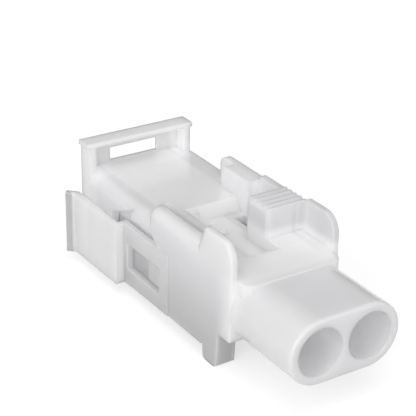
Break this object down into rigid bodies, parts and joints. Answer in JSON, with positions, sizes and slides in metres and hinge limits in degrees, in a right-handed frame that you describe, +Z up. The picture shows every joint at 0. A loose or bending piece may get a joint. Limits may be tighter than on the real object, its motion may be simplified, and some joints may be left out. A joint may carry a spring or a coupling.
{
  "type": "connector housing",
  "caption": "Natural nylon plug housing with a round-ended twin-bore nose, cheeks, side latch arms and a windowed rear hood.",
  "frame": {"origin": "centre of the mating face, midway between the two bores, on their common axis plane", "axes": "+Y back along the housing from the mating face to the hood, +X to the right seen from the front, +Z up through the deck"},
  "size_m": [0.0186, 0.0445, 0.0161],
  "materials": {
    "housing": "natural milky translucent nylon, moulded, slightly glossy"
  },
  "bodies": {
    "root": {"housing": "housing"}
  },
  "joints": []
}
